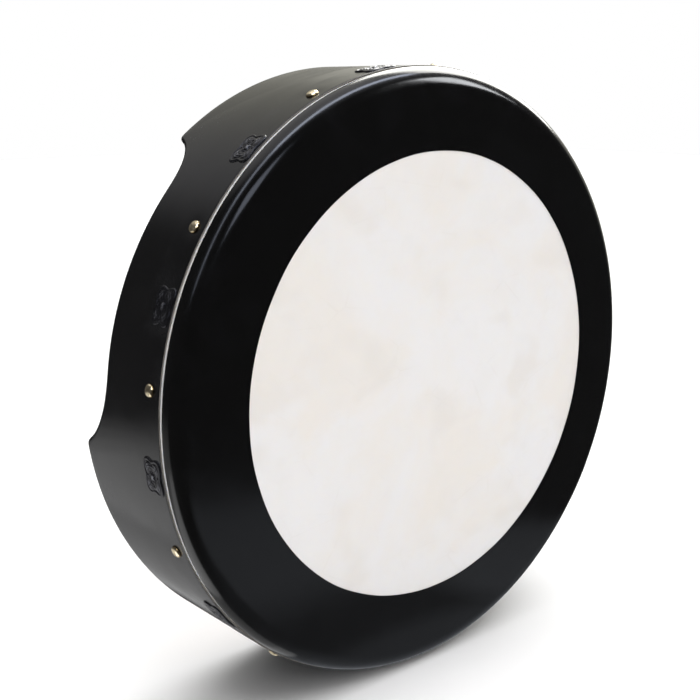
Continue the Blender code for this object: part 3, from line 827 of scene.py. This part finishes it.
def make_bolts(material):
    mesh = bolt_mesh()
    rng = np.random.default_rng(SEED + 6)
    tip = Matrix.Translation((BOLT_CIRCLE, 0, -BOLT_TIP)) @ Matrix.Rotation(math.pi, 4, "X")  # Z runs back
    for number, angle in enumerate(tuner_angles(), 1):
        frame = around(angle) @ tip @ Matrix.Rotation(rng.uniform(0, 1), 4, "Z")
        body = f"tuning_bolt_{number}"
        put(f"bolt_{number}", mesh, frame, body, body, material)


def bracket_mesh(material):
    """A pressed steel angle: bent plate with rounded corners, a tapped boss, and two screw holes."""
    face, inner = BRACKET_FACE, PLATE_INSIDE
    front, back = BRACKET_FRONT, BRACKET_BACK
    shelf = front + BRACKET_PLATE
    bend, inner_bend, corner = 0.0028, 0.0008, 0.0045
    outline = [(SHELF_INNER, front), *arc((face - bend, front + bend), bend, 90.0, 0.0, 6)]
    outline += [(face, back), (inner, back)]
    outline += arc((inner - inner_bend, shelf + inner_bend), inner_bend, 0.0, 90.0, 3) + [(SHELF_INNER, shelf)]
    bm = bmesh.new()
    points = [bm.verts.new((x, -BRACKET_HALF_WIDTH, -d)) for x, d in outline]
    made = bmesh.ops.extrude_face_region(bm, geom=[bm.faces.new(points)])
    swept = [v for v in made["geom"] if isinstance(v, bmesh.types.BMVert)]
    bmesh.ops.translate(bm, verts=swept, vec=(0, 2 * BRACKET_HALF_WIDTH, 0))
    bmesh.ops.recalc_face_normals(bm, faces=bm.faces)

    def is_corner(edge):
        """Whether it runs through the plate's thickness at the end of the shelf or of the upright."""
        one_side = edge.verts[0].co.y * edge.verts[1].co.y > 0
        ends = ([abs(v.co.x - SHELF_INNER) for v in edge.verts], [abs(v.co.z + back) for v in edge.verts])
        return one_side and any(max(distances) < 1e-6 for distances in ends)

    corners = [edge for edge in bm.edges if is_corner(edge)]
    bmesh.ops.bevel(bm, geom=corners, offset=corner, segments=6, profile=0.5, affect="EDGES")
    obj = add("bracket_blank", from_bmesh(bm, "bracket"))
    on_bolt = Matrix.Translation((BOLT_CIRCLE, 0, 0))
    boolean(obj, rod(on_bolt, 0.0055, -0.035, -shelf + 0.001, 48), "UNION")
    turn = Matrix.Rotation(math.radians(90.0), 4, "Y")
    holes = [rod(on_bolt, BOLT_RADIUS + 0.0003, -0.05, -0.02, 40)]
    for side in (-1, 1):
        screw_axis = Matrix.Translation((0, side * SCREW_OFFSET, -SCREW_DEPTH)) @ turn
        holes.append(rod(screw_axis, 0.0018, 0.21, 0.23, 24))
    boolean(obj, merged(holes))
    bevel = obj.modifiers.new("edges", "BEVEL")
    bevel.width, bevel.segments, bevel.limit_method, bevel.angle_limit = 0.00035, 2, "ANGLE", math.radians(40)
    done = applied(obj)
    bpy.data.objects.remove(obj, do_unlink=True)
    finish_shading(done, 35.0)
    done.materials.clear()
    done.materials.append(material)
    return done


def make_brackets(material):
    mesh = bracket_mesh(material)
    for number, angle in enumerate(tuner_angles(), 1):
        put(f"bracket_{number}", mesh, around(angle), "drum", f"tuning_bracket_{number}")


def screw_mesh():
    """A round-head wood screw along Z, head up at 0: cross recess, plain neck and a coarse thread."""
    turn = full_turn(64)
    high, core, neck, pitch = 0.0020, 0.0010, 0.00145, 0.0011
    recess, recess_reach, recess_half_width = 0.0013, 0.0019, 0.00048
    length = SCREW_TIP - PLATE_INSIDE
    sizes = [(0.0002, -length + 0.0003)]
    for z in np.arange(-length + 0.0006, -0.0022, 0.00014):
        grow = min(1.0, (z + length) / 0.0030)
        crest = np.clip(1.0 - np.abs((z / pitch - turn / math.tau) % 1.0 * 2 - 1) * 2.4, 0, 1)
        sizes.append((grow * (core + 0.00048 * crest), z))
    sizes += [(neck, -0.0018), (neck, 0.0), (SCREW_HEAD_RADIUS * 0.97, 0.0), (SCREW_HEAD_RADIUS, 0.0002)]
    steps = (0.0031, 0.0029, 0.0026, 0.0023, 0.0020, 0.0018, 0.0016, 0.0014, 0.0011, 0.0008, 0.0005, 0.00025)
    for far in steps:
        dome = high * np.sqrt(np.clip(1 - (far / SCREW_HEAD_RADIUS) ** 2 * 0.96, 0, 1))
        x, y = np.abs(far * np.cos(turn)), np.abs(far * np.sin(turn))
        across = np.clip((recess_half_width - np.minimum(x, y)) / 0.00016, 0, 1)
        along = np.clip((recess_reach - np.maximum(x, y)) / 0.0004, 0, 1)
        sizes.append((far, dome - across * along * recess))
    poles = ((0, 0, -length), (0, 0, high - recess))
    return grid_mesh("screw", rings(turn, sizes), 0.02, poles=poles, sharp=50.0)


def make_screws(material):
    mesh = screw_mesh()
    rng = np.random.default_rng(SEED + 8)
    spots = [(angle, side) for angle in tuner_angles() for side in (-1, 1)]
    for number, (angle, side) in enumerate(spots, 1):
        frame = radial_frame(angle, SCREW_DEPTH, PLATE_INSIDE - 0.0001, side * SCREW_OFFSET)
        frame = frame @ Matrix.Rotation(math.pi, 4, "X") @ Matrix.Rotation(rng.uniform(0, 1.57), 4, "Z")
        node = f"bracket_screw_{number:02d}"
        put(f"screw_{number:02d}", mesh, frame, "drum", node, material)


# ---- camera, floor and light


def axes(x, y, z, origin):
    """A placement from three unit axes."""
    return Matrix.Translation(origin) @ Matrix((x, y, z)).transposed().to_4x4()


def make_camera():
    """Close, a little above the drum and to its left, level."""
    turn, down = math.radians(40.743), math.radians(13.046)
    distance, sideways, upwards = 0.8489, -0.06227, 0.02249  # to the point it aims at, off the drum's middle
    look = Vector((math.sin(turn) * math.cos(down), math.cos(turn) * math.cos(down), -math.sin(down)))
    right = Vector((math.cos(turn), -math.sin(turn), 0))
    up = right.cross(look)
    target = Vector((0, -DRUM_DEPTH / 2, AXIS_HEIGHT)) + right * sideways + up * upwards
    camera = add("camera", bpy.data.cameras.new("camera"))
    camera.data.lens, camera.data.sensor_width = 58.507, 36.0
    camera.data.clip_start = 0.02
    camera.matrix_world = axes(right, up, -look, target - look * distance)
    bpy.context.scene.camera = camera


def make_floor():
    bm = bmesh.new()
    bmesh.ops.create_grid(bm, x_segments=1, y_segments=1, size=6.0)
    floor = add("floor", from_bmesh(bm, "floor"))
    n = Nodes("pale_floor")
    shade = n.noise(n.place(), 1.5, 2.0)
    colour = n.mix(n.span(shade, 0.3, 0.7), (0.90, 0.90, 0.90), (0.93, 0.93, 0.93))
    floor.data.materials.append(n.finish(Base_Color=colour, Roughness=0.8, Specular_IOR_Level=0.1))
    floor.visible_glossy = False  # the surroundings stand for it in reflections


def bearing(azimuth, elevation):
    """A direction; azimuth 0 is +Y and 90 is +X."""
    a, e = math.radians(azimuth), math.radians(elevation)
    return Vector((math.sin(a) * math.cos(e), math.cos(a) * math.cos(e), math.sin(e)))


def make_surroundings():
    """What the gloss reflects: a dim room, a pale ceiling behind and above, a pale backdrop to the right.
    The camera sees plain white."""
    world = bpy.data.worlds.new("studio")
    bpy.context.scene.world = world
    n = Nodes(world)
    n.tree.nodes.clear()
    direction = n.new("TexCoord").outputs["Generated"]

    def towards(azimuth, elevation, scale=1.0):
        """The cosine of the angle from a bearing, times scale."""
        node = n.tree.nodes.new("ShaderNodeVectorMath")
        node.operation = "DOT_PRODUCT"
        n.feed(node.inputs[0], direction)
        node.inputs[1].default_value = bearing(azimuth, elevation) * scale
        return node.outputs["Value"]

    # tilted so the ceiling starts low behind the drum and high in front of it
    ceiling = n.span(towards(40, 62.7, 1.126), 0.60, 0.86, 0.0, 0.34)
    ceiling = n.maths("MULTIPLY", ceiling, n.span(towards(-90, 10), 0.25, 0.75, 1.0, 0.35))
    behind = n.span(towards(66, 16), 0.81, 0.93)
    backdrop = n.maths("MULTIPLY", behind, 0.46)
    room = n.span(towards(-40, 0), -0.4, 0.8, 0.062, 0.090)
    shadow = n.span(towards(41, -24), 0.955, 0.985, 1.0, 0.03)  # the table in the drum's own shadow
    room = n.maths("MULTIPLY", room, shadow)
    zenith = n.span(towards(12, 76), 0.80, 0.96, 0.0, 0.85)
    warm = n.span(towards(45, 15), 0.60, 0.97)
    room = n.maths("ADD", room, n.maths("MULTIPLY", warm, 0.08))
    total = n.maths("ADD", n.maths("ADD", ceiling, backdrop), n.maths("ADD", room, zenith))
    tint = n.mix(n.maths("MAXIMUM", behind, warm), (0.985, 0.975, 1.0), (1.0, 0.98, 0.86))

    seen = n.new("Background", Color=(1, 1, 1), Strength=1.0)
    reflected = n.new("Background", Color=tint, Strength=total)
    mix = n.new("MixShader", Fac=n.new("LightPath").outputs["Is Camera Ray"])
    n.feed(mix.inputs[1], reflected.outputs["Background"])
    n.feed(mix.inputs[2], seen.outputs["Background"])
    n.new("OutputWorld", Surface=mix.outputs["Shader"])


def add_panel(name, centre, facing, size, radiance, colour, along, shape="RECTANGLE"):
    """A panel that only shows in reflections; its X side runs along the given direction."""
    data = bpy.data.lights.new(name, "AREA")
    data.shape, data.size, data.size_y = shape, size[0], size[1]
    data.energy = radiance * math.pi * size[0] * size[1]
    data.color = colour
    light = add(name, data)
    back = -Vector(facing).normalized()
    side = Vector(along)
    side = (side - back * side.dot(back)).normalized()
    up = back.cross(side)
    light.matrix_world = axes(side, up, back, centre)
    light.visible_camera = False
    light.visible_diffuse = False
    return light


def window(name, azimuth, elevation, distance, size, radiance, colour=(1, 1, 1)):
    """A reflection panel at a bearing from the drum, facing it, with its first side level."""
    back = bearing(azimuth, elevation)
    level = Vector((math.cos(math.radians(azimuth)), -math.sin(math.radians(azimuth)), 0))
    return add_panel(name, PANEL_AIM + back * distance, -back, size, radiance, colour, level)


def soft_sun(name, azimuth, elevation, strength, spread, colour=(1, 1, 1)):
    """Broad light that shades the matt surfaces and casts soft shadows, but does not glint."""
    data = bpy.data.lights.new(name, "SUN")
    data.energy, data.angle, data.color = strength, math.radians(spread), colour
    light = add(name, data)
    light.rotation_mode = "QUATERNION"
    light.rotation_quaternion = bearing(azimuth, elevation).to_track_quat("Z", "Y")
    light.visible_glossy = False
    return light


def make_lights():
    """Suns that shade the matt surfaces, and the windows, tube light and table top that the gloss shows."""
    soft_sun("front_key", 186, 44, 1.10, 55, (1.0, 0.992, 0.99))
    soft_sun("top_fill", 100, 80, 1.55, 80)
    soft_sun("floor_fill", 100, 80, 0.75, 80).data.use_shadow = False
    soft_sun("back_fill", 30, 34, 0.7, 60)

    white, cool, pale = (1.0, 1.0, 1.0), (0.76, 0.83, 1.0), (0.84, 0.90, 1.0)
    window("right_window", 123, 31, 2.0, (0.50, 0.62), 12.0, (0.95, 0.97, 1.0))
    window("front_window", -170, 34, 2.0, (0.66, 0.54), 3.1, cool)
    window("behind_window", 66, 37, 2.4, (1.70, 1.75), 9.0, (1.0, 0.995, 0.95))

    # a long tube light overhead and its glow, from low on the left to past the zenith
    height = 1.30
    tube = [(0.64, -0.15), (-0.30, -0.29), (-0.72, -0.36), (-2.0, -1.0)]  # its bends, aside for each metre up
    for number, level in enumerate((8.0, 4.2, 2.9)):
        a, b = (PANEL_AIM + Vector((x, y, 1.0)) * height for x, y in tube[number : number + 2])
        for width, share, drop in ((0.21, level, 0.0), (0.60, 0.17, 0.01)):
            centre = (a + b) / 2 - Vector((0, 0, drop))
            add_panel(f"tube_{number}_{width}", centre, (0, 0, -1), ((b - a).length, width), share, cool, b - a)

    # the pale table top: patches that add up, each a little above the one before, as
    # (x, y, width, length, level, colour, shape)
    patches = []
    for x, y in ((-0.80, 0.44), (-0.95, 0.51), (-1.12, 0.59), (-1.32, 0.70)):  # far corners
        patches.append(((x - 0.25) / 2, (y - 0.06) / 2, -0.25 - x, y + 0.06, 0.155, white, "RECTANGLE"))
    for rectangle in (
        (-0.41, -0.005, 0.36, 0.13, 1.0),
        (-0.186, 0.19, 0.128, 0.50, 0.36),
        (-0.132, 0.19, 0.020, 0.50, 0.24),
    ):
        patches.append((*rectangle, white, "RECTANGLE"))
    for x, y, width, length, level in (
        (-0.02, -0.24, 0.50, 0.50, 0.08),
        (-0.03, -0.33, 0.52, 0.26, 0.23),
        (0.01, -0.055, 0.28, 0.107, 0.14),
        (0.205, -0.14, 0.20, 0.16, 0.21),
    ):
        for k in (1.15, 1.0, 0.85):  # three steps stand for a soft edge
            patches.append((x, y, width * k, length * k, level / 3, pale, "ELLIPSE"))
    for number, (x, y, width, length, level, colour, shape) in enumerate(patches):
        centre = (x, y, 0.0015 + 0.0002 * number)
        add_panel(f"table_{number}", centre, (0, 0, 1), (width, length), level, colour, (1, 0, 0), shape)


def make_glint(pieces):
    """A broad pale panel that only the given pieces reflect."""
    glinting = bpy.data.collections.new("glinting")
    for piece in pieces:
        glinting.objects.link(piece)
    panel = window("nail_glint", -145, 41, 2.0, (1.5, 1.2), 3.2)
    panel.light_linking.receiver_collection = glinting


def main():
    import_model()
    make_camera()
    make_floor()
    make_surroundings()
    make_lights()
    bpy.context.scene.view_settings.view_transform = "Standard"

    lacquer = lacquer_material()
    wood = inner_wood_material("inner_veneer", (0.56, 0.37, 0.20), (0.34, 0.20, 0.10), 0.42)
    make_shell(lacquer, wood, edge_paint_material())
    make_skin(goatskin_material())
    make_tape(tape_material())
    make_band(leather_material(), raw_edge_material())
    nails = make_nails(metal_material("brass_finish", (0.95, 0.83, 0.58), (0.24, 0.17, 0.08), 0.17, 0.25))
    blackened = metal_material("blackened_finish", (0.19, 0.195, 0.22), (0.024, 0.024, 0.028), 0.18, 0.62, 0.75)
    make_ornaments(blackened)
    make_tuning_ring(inner_wood_material("hoop_wood", (0.66, 0.48, 0.29), (0.47, 0.31, 0.16), 0.46, 4.0, 260.0))
    make_brackets(metal_material("zinc_finish", (0.70, 0.70, 0.68), (0.50, 0.50, 0.49), 0.34, scale=160.0))
    make_bolts(metal_material("black_oxide", (0.34, 0.34, 0.35), (0.055, 0.055, 0.06), 0.32, 0.25))
    make_screws(metal_material("screw_plate", (0.72, 0.62, 0.38), (0.48, 0.40, 0.22), 0.28))

    make_glint(nails)


main()
